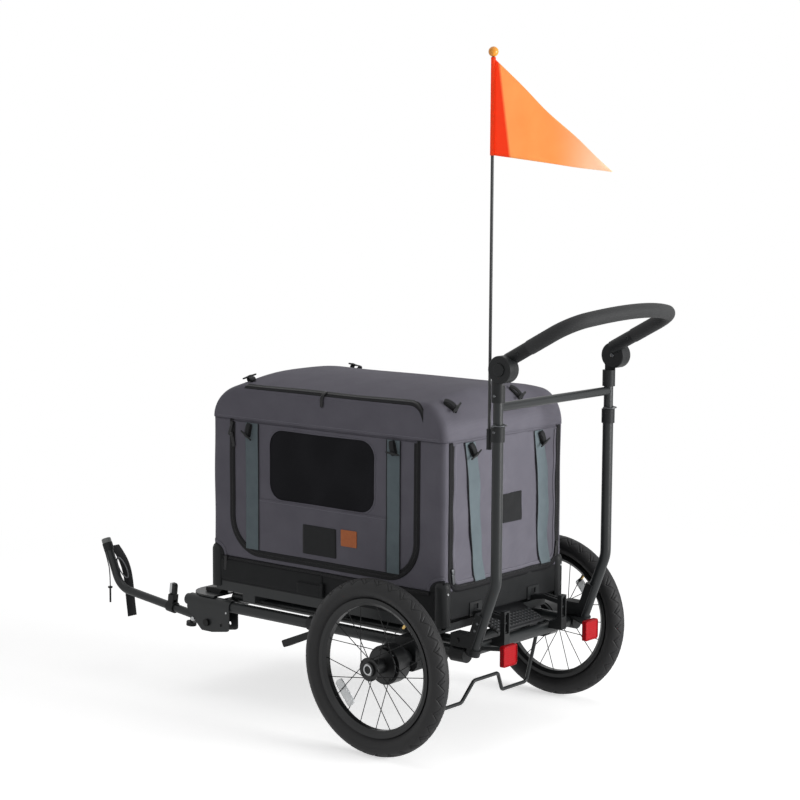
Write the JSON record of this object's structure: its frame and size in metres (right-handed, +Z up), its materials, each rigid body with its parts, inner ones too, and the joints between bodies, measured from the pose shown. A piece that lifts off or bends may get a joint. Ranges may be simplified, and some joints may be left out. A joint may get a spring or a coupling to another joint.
{
  "type": "pet bike trailer",
  "caption": "Two-wheeled pet bike trailer: fabric cabin with lifting side and rear doors, folding tow arm, push handle adjustable in height and tilt, wire stand and safety flag.",
  "frame": {"origin": "On the ground under the middle of the bounding box of the trailer without its hitch strap, lanyard and pin.", "axes": "+Z up, +Y forward towards the towing bicycle, +X to the right."},
  "size_m": [0.7576, 1.5502, 1.5765],
  "materials": {
    "frame_black": "satin black paint",
    "black_plastic": "fine-grained black",
    "tyre": "black rubber",
    "rim_black": "black anodised look",
    "spoke_steel": "dull steel wire",
    "zinc_steel": "zinc plated",
    "red_lens": "prismatic red",
    "clear_lens": "prismatic clear",
    "foam": "soft foam",
    "hitch_grey": "mid grey",
    "cloth_grey": "coated polyester weave",
    "cloth_black": "coated polyester weave",
    "mesh_black": "open mesh",
    "flag_orange": "thin bright cloth",
    "ball_orange": "smooth",
    "pole_grey": "fibre rod",
    "webbing": "woven band",
    "mat_rubber": "ribbed"
  },
  "bodies": {
    "chassis": {"main_tubes": "frame_black", "cross_members": "frame_black", "cradle_rails": "frame_black", "axle_beam": "frame_black", "wheel_brackets": "black_plastic", "axle_sets": "zinc_steel", "rear_sockets": "black_plastic", "rear_reflectors": "red_lens", "lower_posts": "frame_black", "post_collars": "black_plastic", "post_brackets": "black_plastic", "cabin_latches": "black_plastic", "step_mat": "mat_rubber", "tube_clips": "black_plastic", "tow_bracket": "frame_black", "tow_bolt": "zinc_steel", "flag_clip": "black_plastic", "flag_pole": "pole_grey", "flag_ball": "ball_orange", "flag_pennant": "flag_orange", "base_frame": "frame_black", "cabin_tub": "cloth_black", "corner_housings": "black_plastic", "cabin_hoops": "frame_black", "left_wall": "cloth_grey", "right_wall": "cloth_grey", "front_wall": "cloth_grey", "rear_wall": "cloth_grey", "cabin_roof": "cloth_grey"},
    "left_wheel": {"left_tyre": "tyre", "left_rim": "rim_black", "left_hub": "rim_black", "left_spokes": "spoke_steel", "left_spoke_reflector": "clear_lens"},
    "right_wheel": {"right_tyre": "tyre", "right_rim": "rim_black", "right_hub": "rim_black", "right_spokes": "spoke_steel", "right_spoke_reflector": "clear_lens"},
    "left_door": {"left_door": "cloth_grey", "left_window": "mesh_black"},
    "rear_door": {"rear_door": "cloth_grey"},
    "tow_arm": {"tow_arm": "frame_black", "arm_collars": "black_plastic", "hitch_cap": "hitch_grey", "safety_strap": "webbing", "hitch_pin": "zinc_steel", "pin_lanyard": "webbing"},
    "lock_lever": {"lock_lever": "black_plastic"},
    "lock_knob": {"lock_knob": "black_plastic"},
    "handle_frame": {"handle_frame": "frame_black", "lock_pins": "zinc_steel", "hub_housings": "black_plastic"},
    "handle_bar": {"handle_bar": "frame_black", "handle_grip": "foam", "hub_discs": "black_plastic"},
    "left_tilt_button": {"left_tilt_button": "black_plastic"},
    "right_tilt_button": {"right_tilt_button": "black_plastic"},
    "wire_stand": {"wire_stand": "frame_black"},
    "parking_pedal": {"parking_pedal": "black_plastic"}
  },
  "joints": [
    {"name": "left_wheel_spin", "type": "hinge", "parent": "chassis", "child": "left_wheel", "pos_m": [-0.35, -0.2664, 0.203], "axis": [1, 0, 0], "continuous": true},
    {"name": "right_wheel_spin", "type": "hinge", "parent": "chassis", "child": "right_wheel", "pos_m": [0.35, -0.2664, 0.203], "axis": [1, 0, 0], "continuous": true},
    {"name": "tow_arm_fold", "type": "hinge", "parent": "chassis", "child": "tow_arm", "pos_m": [-0.218, 0.3786, 0.187], "axis": [1, 0, 0], "range_deg": [-176, 0]},
    {"name": "lock_lever_tip", "type": "hinge", "parent": "tow_arm", "child": "lock_lever", "pos_m": [-0.218, 0.51574, 0.22778], "axis": [-1, 0, 0], "range_deg": [0, 80]},
    {"name": "lock_knob_turn", "type": "hinge", "parent": "tow_arm", "child": "lock_knob", "pos_m": [-0.218, 0.44886, 0.18438], "axis": [0, -0.1167, 0.9932], "continuous": true},
    {"name": "handle_height", "type": "slide", "parent": "chassis", "child": "handle_frame", "axis": [0, 0, 1], "range_m": [0, 0.12]},
    {"name": "handle_tilt", "type": "hinge", "parent": "handle_frame", "child": "handle_bar", "pos_m": [0, -0.5174, 0.883], "axis": [1, 0, 0], "range_deg": [-55, 70]},
    {"name": "left_button_push", "type": "slide", "parent": "handle_frame", "child": "left_tilt_button", "axis": [1, 0, 0], "range_m": [0, 0.003], "stiffness_N_per_m": 800},
    {"name": "right_button_push", "type": "slide", "parent": "handle_frame", "child": "right_tilt_button", "axis": [-1, 0, 0], "range_m": [0, 0.003], "stiffness_N_per_m": 800},
    {"name": "stand_swing", "type": "hinge", "parent": "chassis", "child": "wire_stand", "pos_m": [0, -0.3374, 0.222], "axis": [1, 0, 0], "range_deg": [-60, 30]},
    {"name": "pedal_press", "type": "hinge", "parent": "chassis", "child": "parking_pedal", "pos_m": [-0.218, 0.0366, 0.211], "axis": [1, 0, 0], "range_deg": [-8, 0]},
    {"name": "left_door_lift", "type": "hinge", "parent": "chassis", "child": "left_door", "pos_m": [-0.2305, 0, 0.707], "axis": [0, 1, 0], "range_deg": [0, 100]},
    {"name": "rear_door_lift", "type": "hinge", "parent": "chassis", "child": "rear_door", "pos_m": [0, -0.3644, 0.7066], "axis": [-1, 0, 0], "range_deg": [0, 90]}
  ]
}
